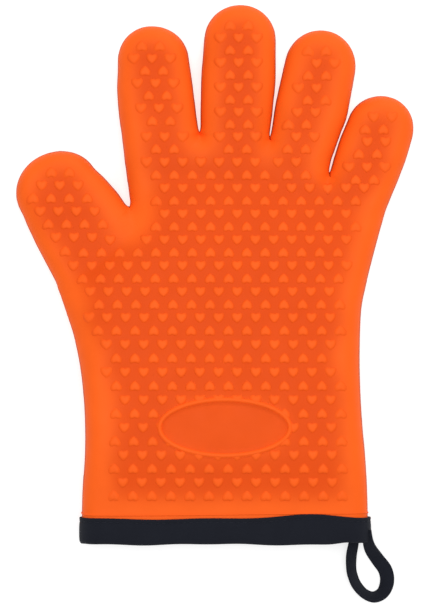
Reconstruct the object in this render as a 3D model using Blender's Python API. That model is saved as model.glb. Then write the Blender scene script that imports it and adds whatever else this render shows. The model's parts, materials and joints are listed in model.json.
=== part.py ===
"""Five-finger heat resistant glove, lying flat: a moulded silicone shell over a padded cotton liner,
with a cloth binding round the cuff and a hanging loop of the same tape.

Metres, +Z up.  The glove is drawn with its cuff edge on the X axis and its fingers towards +Y, and is
then moved so that the origin is the bottom centre of its bounding box.  The shell, the padding and the
liner are each cut at the finger joints, because a finger bends there.
"""

import math

import bpy
from mathutils import Matrix, Vector

MM = 0.001

# Wall, from the outside in.  The outer faces of the shell are the tops of its grip bumps.
SHELL_WALL = 2.0 * MM
PADDING_WALL = 1.5 * MM
LINING_WALL = 0.7 * MM
LAYER_GAP = 0.3 * MM

# Cross-sections: flat top and bottom faces joined by rolled sides.
EDGE_ROLL = 8.5 * MM
QUARTER_STEPS = 3
PALM_THICKNESS = 25.0 * MM
KNUCKLE_THICKNESS = 17.0 * MM
FINGER_THICKNESS = 19.0 * MM
CUFF_THICKNESS = 18.4 * MM

# The palm's ribs: the left and right end of each cross-section, from the cuff to the knuckles.
CUFF_HALF_WIDTH = 71.6 * MM
PALM_RIBS = (
    ((-70.0 * MM, 46.0 * MM), (69.0 * MM, 46.0 * MM), PALM_THICKNESS),
    ((-70.3 * MM, 75.0 * MM), (67.8 * MM, 75.0 * MM), PALM_THICKNESS),
    ((-73.5 * MM, 98.0 * MM), (67.8 * MM, 99.0 * MM), PALM_THICKNESS),
    ((-76.5 * MM, 112.0 * MM), (69.0 * MM, 120.0 * MM), PALM_THICKNESS),
    ((-58.0 * MM, 140.0 * MM), (74.0 * MM, 145.0 * MM), 23.5 * MM),
    ((-47.5 * MM, 168.0 * MM), (79.5 * MM, 163.0 * MM), 21.5 * MM),
    ((-50.0 * MM, 194.0 * MM), (80.5 * MM, 171.0 * MM), KNUCKLE_THICKNESS),
)

# Fingers.  base is the middle of the line that each finger bends beyond, lean is its angle from +Y
# towards +X, and half_widths run evenly from the base to the centre of the round tip.
FINGERS = {
    "thumb": dict(
        base=(-67.2 * MM, 151.4 * MM),
        lean=-33.0,
        length=50.3 * MM,
        half_widths=(25.4 * MM, 25.0 * MM, 23.4 * MM, 20.8 * MM),
        root=(30.0 * MM, 31.0 * MM),
        knuckle=11.5 * MM,
        middle=30.5 * MM,
    ),
    "index": dict(
        base=(-32.15 * MM, 205.0 * MM),
        lean=-5.1,
        length=55.2 * MM,
        half_widths=(19.35 * MM, 19.55 * MM, 19.3 * MM, 18.6 * MM),
        root=(19.0 * MM, 36.0 * MM),
        knuckle=12.0 * MM,
        middle=34.0 * MM,
    ),
    "middle": dict(
        base=(5.1 * MM, 202.5 * MM),
        lean=2.9,
        length=67.8 * MM,
        half_widths=(17.3 * MM, 18.2 * MM, 18.85 * MM, 18.6 * MM),
        root=(17.5 * MM, 38.0 * MM),
        knuckle=12.5 * MM,
        middle=41.0 * MM,
    ),
    "ring": dict(
        base=(39.0 * MM, 198.25 * MM),
        lean=11.0,
        length=60.1 * MM,
        half_widths=(15.9 * MM, 17.4 * MM, 18.9 * MM, 18.0 * MM),
        root=(17.0 * MM, 38.0 * MM),
        knuckle=12.0 * MM,
        middle=37.0 * MM,
    ),
    "little": dict(
        base=(66.95 * MM, 178.4 * MM),
        lean=18.0,
        length=48.9 * MM,
        half_widths=(16.5 * MM, 16.9 * MM, 17.1 * MM, 17.25 * MM),
        root=(14.0 * MM, 26.0 * MM),
        knuckle=11.0 * MM,
        middle=30.5 * MM,
    ),
}
WEB_ROUND = 8.0 * MM
WEB_STEPS = (0.0, 35.0, 62.0, 80.0)
SIDE_GAP = 0.45 * MM  # each finger stands this far inside its own lane
MOST_BEND = math.radians(65.0)
JOINT_GAP = 0.4 * MM
COLLAR_STEPS = (0.0, 0.35, 0.6)  # how far the round collar at a joint reaches, in half thicknesses
TIP_STEPS = (0.0, 32.0, 58.0, 78.0)  # degrees round a fingertip

# Cuff binding: a tape folded over the edges of the shell, padding and lining.
TAPE = 1.0 * MM
BINDING_HEIGHT = 13.5 * MM
INNER_FLAP = 11.5 * MM
STITCH_LINE = 2.2 * MM  # down from the binding's upper edge
STITCH_GROOVE = 0.7 * MM
THREAD = 0.4 * MM
THREAD_SIDES = 6

# Hanging loop: flat tape that leaves the binding at the little-finger side and comes back to it.
# Each point is x from the cuff's side, y, half the tape's width, and its tilt from flat in degrees.
LOOP_TAPE = 1.6 * MM
LOOP_START = 1.3 * MM  # below the binding
LOOP_HINGE = 1.2 * MM
LOOP_ROUTE = (
    (-6.9 * MM, 0.0, 2.7 * MM, 0.0),
    (-7.7 * MM, -8.0 * MM, 2.8 * MM, 15.0),
    (-7.9 * MM, -14.0 * MM, 2.9 * MM, 25.0),
    (-5.4 * MM, -20.5 * MM, 3.1 * MM, 40.0),
    (-1.2 * MM, -25.2 * MM, 3.1 * MM, 55.0),
    (3.6 * MM, -26.6 * MM, 3.1 * MM, 58.0),
    (8 * MM, -24.4 * MM, 3.2 * MM, 45.0),
    (10 * MM, -19.0 * MM, 3.3 * MM, 20.0),
    (9 * MM, -12.6 * MM, 3.3 * MM, 5.0),
    (5.6 * MM, -7.0 * MM, 3.2 * MM, 0.0),
    (1.1 * MM, 0.0, 2.9 * MM, 0.0),
)
LOOP_STEPS = 2  # cross-sections between two points of the route

ORANGE = (0.90, 0.115, 0.012)
BATTING = (0.80, 0.79, 0.76)
COTTON = (0.72, 0.68, 0.60)
NAVY = (0.012, 0.014, 0.022)
THREAD_NAVY = (0.02, 0.023, 0.034)

ROUND_POINTS = 4 * (QUARTER_STEPS + 1)


# ---------------------------------------------------------------- sections and skins


def section(centre, across, half_width, half_height, roll):
    """A ring of points: flat top and bottom, and sides that roll over within a distance roll."""
    roll = min(roll, 0.92 * half_width)
    flat = half_width - roll
    ring = []
    for quarter in range(4):
        side = 1 if quarter in (0, 3) else -1
        for step in range(QUARTER_STEPS + 1):
            angle = math.radians(90.0 * (quarter + step / QUARTER_STEPS))
            reach = side * flat + roll * math.cos(angle)
            rise = half_height * math.sin(angle)
            ring.append(centre + across * reach + Vector((0, 0, rise)))
    return ring


def rib(left, right, half_height, middle_height, inset=0.0, roll=EDGE_ROLL):
    """The section between two points of the outline, taken in by inset all round."""
    left, right = Vector((*left, middle_height)), Vector((*right, middle_height))
    half_width = (right - left).length / 2 - inset
    across = (right - left).normalized()
    return section((left + right) / 2, across, half_width, half_height - inset, roll - inset)


def skin(name, rings, closed=False):
    """A solid through rings of points.  A single point in place of a ring closes an end to a pole, and
    closed joins the last ring to the first."""
    points, rows = [], []
    for ring in rings:
        ring = [ring] if isinstance(ring, Vector) else ring
        rows.append(range(len(points), len(points) + len(ring)))
        points += ring
    faces = []
    pairs = list(zip(rows, rows[1:])) + ([(rows[-1], rows[0])] if closed else [])
    for low, high in pairs:
        for i in range(ROUND_POINTS):
            j = (i + 1) % ROUND_POINTS
            near, ahead = low[i % len(low)], low[j % len(low)]
            far, beyond = high[i % len(high)], high[j % len(high)]
            for face in ((near, ahead, beyond), (near, beyond, far)):
                if len(set(face)) == 3:
                    faces.append(face)
    if not closed:
        faces += [list(reversed(row)) for row in rows[:1] if len(row) > 1]
        faces += [list(row) for row in rows[-1:] if len(row) > 1]
    mesh = bpy.data.meshes.new(name)
    mesh.from_pydata(points, [], faces)
    return face_outwards(mesh)


def face_outwards(mesh):
    """Turns the faces round where the mesh is inside out."""
    mesh.calc_loop_triangles()
    volume = 0.0
    for triangle in mesh.loop_triangles:
        a, b, c = (mesh.vertices[i].co for i in triangle.vertices)
        volume += a.dot(b.cross(c))
    if volume < 0:
        mesh.flip_normals()
    return mesh


def evaluated_boolean(mesh, operation, others):
    """The mesh joined with, or cut by, the other meshes."""
    base = bpy.data.objects.new("base", mesh)
    bpy.context.scene.collection.objects.link(base)
    tools = []
    for other in others:
        tool = bpy.data.objects.new("tool", other)
        bpy.context.scene.collection.objects.link(tool)
        tools.append(tool)
        modifier = base.modifiers.new(operation.lower(), "BOOLEAN")
        modifier.operation = operation
        modifier.solver = "EXACT"
        modifier.object = tool
    graph = bpy.context.evaluated_depsgraph_get()
    made = bpy.data.meshes.new_from_object(base.evaluated_get(graph))
    for helper in (base, *tools):
        bpy.data.objects.remove(helper)
    return made


# ---------------------------------------------------------------- fingers


def finger_frame(finger):
    """(base point, direction to the tip, direction across) of a finger."""
    lean = math.radians(finger["lean"])
    along = Vector((math.sin(lean), math.cos(lean), 0))
    across = Vector((math.cos(lean), -math.sin(lean), 0))
    return Vector((*finger["base"], FINGER_THICKNESS / 2)), along, across


def tip_radius(finger):
    return finger["half_widths"][-1]


def half_width_at(finger, distance):
    """Half the finger's width at a distance from its base, up to the centre of its tip."""
    widths = finger["half_widths"]
    place = distance / (finger["length"] - tip_radius(finger)) * (len(widths) - 1)
    place = min(max(place, 0.0), len(widths) - 1.0)
    low = min(int(place), len(widths) - 2)
    return widths[low] + (widths[low + 1] - widths[low]) * (place - low) - SIDE_GAP


def finger_section(finger, distance, inset, squeeze=1.0):
    """The section at a distance from the base.  squeeze makes it thinner, as a collar's end is."""
    base, along, across = finger_frame(finger)
    half_height = FINGER_THICKNESS / 2
    roll = EDGE_ROLL * squeeze
    half_width = half_width_at(finger, distance) - EDGE_ROLL + roll - inset
    return section(
        base + along * distance, across, half_width, half_height * squeeze - inset, roll - inset
    )


def tip_rings(finger, inset):
    """Sections round the fingertip, and the point at its end."""
    base, along, across = finger_frame(finger)
    radius = tip_radius(finger) - inset
    roll = EDGE_ROLL - inset
    half_height = FINGER_THICKNESS / 2 - inset
    centre = base + along * (finger["length"] - tip_radius(finger))
    rings = []
    for degrees in TIP_STEPS:
        angle = math.radians(degrees)
        depth = min(1.0, radius * (1 - math.sin(angle)) / roll)
        height = half_height * math.sqrt(1 - (1 - depth) ** 2)
        width = (radius - SIDE_GAP) * math.cos(angle)
        rings.append(
            section(centre + along * radius * math.sin(angle), across, width, height, roll)
        )
    return rings + [centre + along * radius]


def collar_rings(finger, hinge, inset):
    """The round end that a segment turns on: its section is a half disc about the hinge line."""
    half_height = FINGER_THICKNESS / 2
    return [
        finger_section(finger, hinge - half_height * step, inset, math.sqrt(1 - step**2))
        for step in reversed(COLLAR_STEPS)
    ]


def stop_before(hinge):
    """Where a segment ends, so that the next one can bend by MOST_BEND either way."""
    return hinge - FINGER_THICKNESS / 2 * math.sin(MOST_BEND) - JOINT_GAP


def base_segment(name, finger, outer, inner, collar):
    """A sleeve from the knuckle to the middle joint, between two insets."""
    start, end = finger["knuckle"], stop_before(finger["middle"])
    walls = []
    for inset in (outer, inner):
        first = collar_rings(finger, start, inset) if collar else [finger_section(finger, start, inset)]
        walls.append(first + [finger_section(finger, end, inset)])
    return skin(name, walls[0] + walls[1][::-1], closed=True)


def tip_segment(name, finger, outer, inner, collar):
    """A cap from the middle joint to the end of the finger, between two insets."""
    start = finger["middle"]
    walls = []
    for inset in (outer, inner):
        first = collar_rings(finger, start, inset) if collar else [finger_section(finger, start, inset)]
        tip = tip_rings(finger, inset)
        if start >= finger["length"] - tip_radius(finger):
            tip = tip[1:]
        walls.append(first + tip)
    return skin(name, walls[0][::-1] + walls[1])


# ---------------------------------------------------------------- palm


def palm_rings(inset, overrun):
    """Sections from the cuff to the knuckles.  overrun lengthens the cuff end of a cutter."""
    cuff_middle = cuff_height()
    ends = (TAPE + LAYER_GAP - overrun, BINDING_HEIGHT + 3.0 * MM)
    rings = [
        rib((-CUFF_HALF_WIDTH, y), (CUFF_HALF_WIDTH, y), CUFF_THICKNESS / 2, cuff_middle, inset)
        for y in ends
    ]
    for left, right, thickness in PALM_RIBS[:-1]:
        rings.append(rib(left, right, thickness / 2, thickness / 2, inset))
    return rings + web_rings(inset)


def web_rings(inset):
    """The palm's end between the fingers, rounded over."""
    left, right, thickness = PALM_RIBS[-1]
    slope = (Vector(right) - Vector(left)).normalized()
    ahead = Vector((-slope.y, slope.x))
    rings = []
    for degrees in WEB_STEPS:
        angle = math.radians(degrees)
        back = WEB_ROUND - (WEB_ROUND - inset) * math.sin(angle)
        low = (thickness / 2 - inset) * math.cos(angle) + inset
        ends = [Vector(end) - ahead * back for end in (left, right)]
        rings.append(rib(*ends, low, thickness / 2, inset))
    return rings


def cuff_height():
    """The cuff's mid-plane, where the binding just touches the surface underneath."""
    return CUFF_THICKNESS / 2 + LAYER_GAP + TAPE


def root_rings(finger, inset, overrun):
    """The part of a finger that stays with the palm, from inside the palm to the knuckle."""
    base, along, across = finger_frame(finger)
    root_width, depth = finger["root"]
    thin = KNUCKLE_THICKNESS / 2 - 1.5 * MM
    deep = base - along * (depth - inset)
    rings = [
        section(deep, across, root_width - inset, thin - inset, EDGE_ROLL - inset),
        finger_section(finger, 0.0, inset),
        finger_section(finger, stop_before(finger["knuckle"]) + overrun, inset),
    ]
    return rings


def hand_body(inset, overrun=0.0):
    """The palm with the roots of its five fingers, taken in by inset all round."""
    palm = skin("palm", palm_rings(inset, overrun))
    roots = [skin("root", root_rings(finger, inset, overrun)) for finger in FINGERS.values()]
    return evaluated_boolean(palm, "UNION", roots)


def palm_layer(outer, inner):
    """One layer of the palm: open at the cuff and into each finger."""
    return evaluated_boolean(hand_body(outer), "DIFFERENCE", [hand_body(inner, overrun=2.0 * MM)])


# ---------------------------------------------------------------- cuff and loop


def cuff_ring(y, offset):
    """The cuff's section at y, offset outwards."""
    half = CUFF_HALF_WIDTH + offset
    half_height = CUFF_THICKNESS / 2 + offset
    return section(
        Vector((0, y, cuff_height())), Vector((1, 0, 0)), half, half_height, EDGE_ROLL + offset
    )


def cuff_binding():
    """A tape with a U section: an outer flap, the fold under the edges, and an inner flap."""
    outside = LAYER_GAP + TAPE
    stack = SHELL_WALL + PADDING_WALL + LINING_WALL + 2 * LAYER_GAP
    inside = -stack - LAYER_GAP - TAPE
    stitch = BINDING_HEIGHT - STITCH_LINE
    wide = THREAD
    profile = (
        (BINDING_HEIGHT, outside),
        (stitch + wide, outside),
        (stitch + wide / 2, outside - STITCH_GROOVE),
        (stitch - wide / 2, outside - STITCH_GROOVE),
        (stitch - wide, outside),
        (TAPE, outside),
        (0.0, outside - TAPE),
        (0.0, inside + TAPE),
        (TAPE, inside),
        (INNER_FLAP, inside),
        (INNER_FLAP, inside + TAPE),
        (TAPE, inside + TAPE),
        (TAPE, outside - TAPE),
        (BINDING_HEIGHT, outside - TAPE),
    )
    return skin("cuff_binding", [cuff_ring(y, offset) for y, offset in profile], closed=True)


def binding_thread():
    """The row of stitching that holds the binding, as a cord in the groove that it pulls in."""
    y = BINDING_HEIGHT - STITCH_LINE
    middle = LAYER_GAP + TAPE - STITCH_GROOVE + LAYER_GAP + THREAD / 2
    rings = []
    for side in range(THREAD_SIDES):
        angle = math.tau * side / THREAD_SIDES
        rings.append(
            cuff_ring(y + THREAD / 2 * math.cos(angle), middle + THREAD / 2 * math.sin(angle))
        )
    return skin("binding_thread", rings, closed=True)


def smooth_route(points, steps):
    """Points on a smooth curve through the given ones."""
    found = []
    for i in range(len(points) - 1):
        around = [Vector(points[min(max(i + k, 0), len(points) - 1)]) for k in (-1, 0, 1, 2)]
        for step in range(steps):
            t = step / steps
            before, here, there, after = around
            found.append(
                0.5
                * (
                    2 * here
                    + (there - before) * t
                    + (2 * before - 5 * here + 4 * there - after) * t**2
                    + (3 * here - before - 3 * there + after) * t**3
                )
            )
    return found + [Vector(points[-1])]


def loop_height(y):
    """The loop leaves the cuff at its mid-plane and droops until it lies on the surface."""
    lying = 3.7 * MM
    drop = min(1.0, max(0.0, -y / (18.0 * MM)))
    ease = drop * drop * (3 - 2 * drop)
    return cuff_height() + (lying - cuff_height()) * ease


def hanging_loop():
    """Flat tape swept along its route, tilted so that it stands more on edge round the end."""
    route = [Vector(point) for point in smooth_route(LOOP_ROUTE, LOOP_STEPS)]
    for point in route:
        point[0] += CUFF_HALF_WIDTH
    for point in (route[0], route[-1]):
        point[1] = -LOOP_START
    centres = [Vector((p[0], p[1], loop_height(p[1]))) for p in route]
    rings = []
    for i, (centre, point) in enumerate(zip(centres, route)):
        ahead = centres[min(i + 1, len(centres) - 1)] - centres[max(i - 1, 0)]
        ahead.z = 0
        if i in (0, len(centres) - 1):
            ahead = Vector((0, -1 if i == 0 else 1, 0))
        outwards = ahead.normalized().cross(Vector((0, 0, 1)))
        tilt = math.radians(point[3])
        wide = outwards * math.cos(tilt) + Vector((0, 0, math.sin(tilt)))
        thick = ahead.normalized().cross(wide)
        rings.append(tape_ring(centre, wide, thick, point[2]))
    return skin("hanging_loop", rings)


def tape_ring(centre, wide, thick, half_width):
    """The section of the loop's tape: a flat oblong with round edges."""
    edge = LOOP_TAPE / 2
    ring = []
    for quarter in range(4):
        side = 1 if quarter in (0, 3) else -1
        for step in range(QUARTER_STEPS + 1):
            angle = math.radians(90.0 * (quarter + step / QUARTER_STEPS))
            reach = side * (half_width - edge) + edge * math.cos(angle)
            ring.append(centre + wide * reach + thick * edge * math.sin(angle))
    return ring


# ---------------------------------------------------------------- assembly


def material(name, colour, roughness):
    made = bpy.data.materials.new(name)
    made.use_nodes = True
    shader = made.node_tree.nodes["Principled BSDF"]
    shader.inputs["Base Color"].default_value = (*colour, 1)
    shader.inputs["Roughness"].default_value = roughness
    shader.inputs["Metallic"].default_value = 0.0
    return made


def piece(name, mesh, finish, parent, origin=Vector((0, 0, 0))):
    """An object whose own origin is at origin, under parent."""
    mesh.name = name
    mesh.materials.clear()
    mesh.materials.append(finish)
    mesh.transform(Matrix.Translation(-origin))
    mesh.shade_smooth()
    mesh.set_sharp_from_angle(angle=math.radians(40))
    made = bpy.data.objects.new(name, mesh)
    bpy.context.scene.collection.objects.link(made)
    made.parent = parent
    made.location = origin
    return made


def empty(name):
    made = bpy.data.objects.new(name, None)
    bpy.context.scene.collection.objects.link(made)
    return made


def stand_on_origin(glove):
    """Moves the whole glove so that the origin is the bottom centre of its box."""
    bpy.context.view_layer.update()
    corners = [
        thing.matrix_world @ Vector(corner)
        for thing in bpy.context.scene.objects
        if thing.type == "MESH"
        for corner in thing.bound_box
    ]
    low = Vector([min(c[k] for c in corners) for k in range(3)])
    high = Vector([max(c[k] for c in corners) for k in range(3)])
    glove.location = -Vector(((low.x + high.x) / 2, (low.y + high.y) / 2, low.z))
    bpy.context.view_layer.update()


def main():
    for thing in list(bpy.data.objects):
        bpy.data.objects.remove(thing)
    glove = empty("glove")
    layers = {
        "shell": (0.0, SHELL_WALL, material("silicone", ORANGE, 0.45)),
        "padding": (
            SHELL_WALL + LAYER_GAP,
            SHELL_WALL + LAYER_GAP + PADDING_WALL,
            material("batting", BATTING, 0.95),
        ),
        "lining": (
            SHELL_WALL + PADDING_WALL + 2 * LAYER_GAP,
            SHELL_WALL + PADDING_WALL + 2 * LAYER_GAP + LINING_WALL,
            material("cotton", COTTON, 0.9),
        ),
    }
    for layer, (outer, inner, finish) in layers.items():
        collar = layer == "shell"
        piece(f"{layer}_palm", palm_layer(outer, inner), finish, glove)
        for name, finger in FINGERS.items():
            base, along, _ = finger_frame(finger)
            knuckle, middle = base + along * finger["knuckle"], base + along * finger["middle"]
            sleeve = base_segment(layer, finger, outer, inner, collar)
            cap = tip_segment(layer, finger, outer, inner, collar)
            piece(f"{layer}_{name}_base", sleeve, finish, glove, knuckle)
            piece(f"{layer}_{name}_tip", cap, finish, glove, middle)
    tape = material("tape", NAVY, 0.85)
    piece("cuff_binding", cuff_binding(), tape, glove)
    piece("binding_thread", binding_thread(), material("thread", THREAD_NAVY, 0.7), glove)
    loop_x = CUFF_HALF_WIDTH + (LOOP_ROUTE[0][0] + LOOP_ROUTE[-1][0]) / 2
    piece("hanging_loop", hanging_loop(), tape, glove, Vector((loop_x, -LOOP_HINGE, cuff_height())))
    stand_on_origin(glove)


main()
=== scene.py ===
"""Heat resistant glove lying flat on a pale table: a moulded silicone shell with raised hearts over a
quilted cotton lining, a navy cloth binding round the cuff and a hanging loop of folded tape.

Lengths are written in millimetres from the middle of the cuff's edge, with +Y towards the fingertips,
and become metres in place().
"""

import json
import math

import bmesh
import bpy
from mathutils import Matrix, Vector
from mathutils.bvhtree import BVHTree
from mathutils.kdtree import KDTree
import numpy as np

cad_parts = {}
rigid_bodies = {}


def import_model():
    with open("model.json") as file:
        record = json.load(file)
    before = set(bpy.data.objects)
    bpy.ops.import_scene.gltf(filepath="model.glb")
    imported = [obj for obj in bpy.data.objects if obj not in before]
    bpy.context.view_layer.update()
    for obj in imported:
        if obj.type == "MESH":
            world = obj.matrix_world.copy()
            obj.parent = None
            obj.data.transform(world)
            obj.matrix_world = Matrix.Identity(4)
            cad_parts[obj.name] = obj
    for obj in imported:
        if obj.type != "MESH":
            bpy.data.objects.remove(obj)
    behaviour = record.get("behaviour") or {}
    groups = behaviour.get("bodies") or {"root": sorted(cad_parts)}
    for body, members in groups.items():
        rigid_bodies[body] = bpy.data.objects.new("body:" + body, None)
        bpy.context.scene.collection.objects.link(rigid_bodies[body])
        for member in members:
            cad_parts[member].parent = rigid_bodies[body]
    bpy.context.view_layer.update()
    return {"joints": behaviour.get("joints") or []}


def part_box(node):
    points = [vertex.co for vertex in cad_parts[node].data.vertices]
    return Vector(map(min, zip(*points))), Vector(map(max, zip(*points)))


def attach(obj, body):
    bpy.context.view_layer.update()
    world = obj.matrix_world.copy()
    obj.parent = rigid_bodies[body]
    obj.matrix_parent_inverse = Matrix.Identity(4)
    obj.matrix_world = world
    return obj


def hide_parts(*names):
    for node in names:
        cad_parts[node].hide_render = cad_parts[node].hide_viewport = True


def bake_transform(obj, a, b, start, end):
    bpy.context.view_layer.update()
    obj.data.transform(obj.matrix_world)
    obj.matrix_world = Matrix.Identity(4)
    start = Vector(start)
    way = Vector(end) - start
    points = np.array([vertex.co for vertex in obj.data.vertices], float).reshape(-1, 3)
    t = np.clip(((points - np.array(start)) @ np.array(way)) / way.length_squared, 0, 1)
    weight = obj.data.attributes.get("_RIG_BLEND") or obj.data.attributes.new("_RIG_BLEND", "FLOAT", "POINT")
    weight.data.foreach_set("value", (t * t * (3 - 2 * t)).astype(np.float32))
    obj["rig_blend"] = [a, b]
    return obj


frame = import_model()

MM = 0.001
binding_low, binding_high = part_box("cuff_binding")
CUFF_X = (binding_low[0] + binding_high[0]) / 2
CUFF_Y = binding_low[1]


def place(x, y, z=0.0):
    return Vector((CUFF_X + x * MM, CUFF_Y + y * MM, z * MM))


def smooth(t):
    t = min(max(t, 0.0), 1.0)
    return t * t * (3 - 2 * t)


def between(stations, steps):
    """Stations on smooth curves through the given ones, which are tuples of numbers."""
    found = []
    last = len(stations) - 1
    for i in range(last):
        before, here = stations[max(i - 1, 0)], stations[i]
        there, after = stations[i + 1], stations[min(i + 2, last)]
        for step in range(steps):
            t = step / steps
            found.append(
                tuple(
                    0.5
                    * (2 * b + (c - a) * t + (2 * a - 5 * b + 4 * c - d) * t**2 + (3 * b - a - 3 * c + d) * t**3)
                    for a, b, c, d in zip(before, here, there, after)
                )
            )
    return found + [stations[-1]]


# ---------------------------------------------------------------- mesh tools


def loft(bm, rings, closed=False):
    """Extrudes a ring of points through the rings that follow it."""
    loop = bmesh.ops.create_circle(bm, segments=len(rings[0]), radius=1.0, cap_ends=False)["verts"]
    first = loop
    for vert, point in zip(loop, rings[0]):
        vert.co = point
    ends = [ring_edges(loop)]
    for ring in rings[1:]:
        made = bmesh.ops.extrude_edge_only(bm, edges=ring_edges(loop))["geom"]
        new = {part for part in made if isinstance(part, bmesh.types.BMVert)}
        step = []
        for vert, point in zip(loop, ring):
            other = next(e.other_vert(vert) for e in vert.link_edges if e.other_vert(vert) in new)
            other.co = point
            step.append(other)
        loop = step
    ends.append(ring_edges(loop))
    if closed:
        bmesh.ops.bridge_loops(bm, edges=ring_edges(first) + ring_edges(loop))
    else:
        for edges in ends:
            bmesh.ops.contextual_create(bm, geom=edges)
    bmesh.ops.recalc_face_normals(bm, faces=bm.faces[:])
    return bm


def ring_edges(loop):
    edges = []
    for i, vert in enumerate(loop):
        other = loop[(i + 1) % len(loop)]
        edges.append(next(e for e in vert.link_edges if e.other_vert(vert) == other))
    return edges


def new_object(name, bm, finish):
    mesh = bpy.data.meshes.new(name)
    bm.to_mesh(mesh)
    bm.free()
    mesh.materials.append(finish)
    made = bpy.data.objects.new(name, mesh)
    bpy.context.scene.collection.objects.link(made)
    return made


def soften(made, angle=50):
    made.data.shade_smooth()
    made.data.set_sharp_from_angle(angle=math.radians(angle))


def remeshed(bm, voxel):
    """The one outer skin round the overlapping bodies in bm."""
    helper = new_object("remesh_helper", bm, None)
    modifier = helper.modifiers.new("remesh", "REMESH")
    modifier.mode = "VOXEL"
    modifier.voxel_size = voxel * MM
    graph = bpy.context.evaluated_depsgraph_get()
    mesh = bpy.data.meshes.new_from_object(helper.evaluated_get(graph))
    bpy.data.objects.remove(helper)
    skin = bmesh.new()
    skin.from_mesh(mesh)
    bpy.data.meshes.remove(mesh)
    return skin


# ---------------------------------------------------------------- shape of the hand

# left x, left y, right x, right y, half height, height of the middle, roll of the left side
PALM = (
    (-71.6, 1.4, 71.6, 1.4, 9.0, 10.5, 8.5),
    (-71.8, 15.0, 71.5, 15.0, 9.1, 10.5, 8.5),
    (-71.4, 28.0, 71.1, 28.0, 10.1, 11.2, 8.5),
    (-70.1, 45.0, 70.0, 45.0, 11.4, 12.3, 8.5),
    (-70.0, 60.0, 68.6, 60.0, 11.7, 12.5, 8.5),
    (-70.8, 75.0, 67.7, 75.0, 11.7, 12.5, 9.0),
    (-72.6, 90.0, 67.2, 90.0, 11.7, 12.5, 11.0),
    (-75.8, 105.0, 67.4, 105.0, 11.6, 12.4, 18.0),
    (-78.8, 114.0, 68.0, 117.0, 11.4, 12.2, 22.0),
    (-80.8, 120.0, 68.9, 123.0, 11.2, 12.0, 25.0),
    (-82.8, 126.0, 70.3, 129.0, 11.0, 11.8, 32.0),
    (-82.6, 132.0, 71.6, 135.0, 10.8, 11.6, 36.0),
    (-62.0, 150.0, 74.2, 145.0, 10.4, 11.2, 36.0),
    (-47.6, 170.0, 77.8, 158.0, 9.4, 10.2, 28.0),
    (-49.6, 188.0, 82.0, 172.0, 8.0, 8.9, 12.0),
)
PALM_ROLL = 8.5
FINGER_HALF = 8.7
FINGER_MIDDLE = 9.5
FINGER_ROLL = 7.8

# base: middle of the line between the webs.  lean: degrees from +Y towards +X.  widths: distance from
# the base, half width and sideways shift.  reach: from the last width to the end of the tip.
# root: half width and depth inside the palm.  webs: where each side's web ends, as a distance from the
# base, None where no neighbour is near.  gap: what each side stands back from its neighbour.
FINGERS = {
    "thumb": dict(
        base=(-67.6, 151.2),
        lean=-33.0,
        widths=((0.0, 25.1, 0.6), (12.0, 24.6, 1.1), (22.0, 23.3, 1.1), (31.0, 21.4, 0.8)),
        reach=19.2,
        root=(28.6, 36.0),
        webs=(None, 1.0),
        gap=(0.0, 0.2),
        bends=(0.0, 23.0),
    ),
    "index": dict(
        base=(-31.9, 205.4),
        lean=-5.2,
        widths=((0.0, 19.4, -0.5), (12.0, 19.5, -1.0), (24.0, 19.2, -1.1), (37.0, 18.0, -0.6)),
        reach=17.6,
        root=(18.6, 36.0),
        webs=(None, -3.1),
        gap=(0.0, 0.1),
        bends=(0.0, 24.0),
    ),
    "middle": dict(
        base=(4.8, 202.8),
        lean=2.9,
        widths=((0.0, 17.6, 0.2), (15.0, 18.6, 0.4), (30.0, 19.2, 0.6), (49.6, 18.5, 0.4)),
        reach=18.0,
        root=(17.5, 38.0),
        webs=(0.3, -0.5),
        gap=(0.1, 0.6),
        bends=(0.0, 25.0),
    ),
    "ring": dict(
        base=(37.5, 195.6),
        lean=11.6,
        widths=(
            (0.0, 16.6, 0.0), (7.0, 17.3, 0.3), (14.0, 18.0, 0.6), (22.0, 19.0, 1.1), (44.5, 18.6, 1.1),
        ),
        reach=18.7,
        root=(16.5, 38.0),
        webs=(2.5, -9.3),
        gap=(0.6, 0.6),
        bends=(0.0, 24.0),
    ),
    "little": dict(
        base=(66.9, 178.8),
        lean=17.5,
        widths=((0.0, 16.8, 0.2), (10.0, 17.5, 0.4), (20.0, 17.8, 0.7), (31.0, 17.2, 1.1)),
        reach=17.0,
        root=(14.5, 26.0),
        webs=(-0.4, None),
        gap=(0.6, 0.0),
        bends=(0.0, 22.0),
    ),
}
# the web between two fingers: its end, lean, half width and height of the middle
WEBS = (
    (-47.2, 158.5, -19.0, 7.5, 10.2),
    (-13.0, 202.6, -1.2, 9.5, 9.5),
    (21.9, 200.2, 7.2, 9.5, 9.5),
    (51.0, 182.2, 14.5, 9.0, 9.5),
)
WEB_ROLL = 6.0
WEB_OVERLAP = 1.0  # neighbouring fingers run into each other below the web
WEB_CLEARANCE = 1.9  # and are modelled this much slimmer beyond it, then eased out to their real width
WEB_EASE = 2.6
VOXEL = 1.15
SKIN_WALL = 1.2
LINING_INSET = 1.5  # of the lining's outside from the skin's outside
LINING_WALL = 2.5


def oblong(centre, across, half_width, half_height, roll, crown=0.0, count=28, left_roll=None):
    """A ring round a flat body with rolled sides.  crown raises the middle of the upper face."""
    ring = []
    for side in (1, -1):
        for i in range(count):
            x = side * half_width * math.cos(math.pi * i / count)
            depth = min(1.0, (half_width - abs(x)) / (roll if x > 0 else left_roll or roll))
            rise = math.sqrt(max(0.0, 1 - (1 - depth) ** 2))
            swell = crown * (1 - (x / half_width) ** 2) if side == 1 else 0.0
            z = side * half_height * rise + swell * rise
            ring.append(centre + across * x * MM + Vector((0, 0, z * MM)))
    return ring


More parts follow.
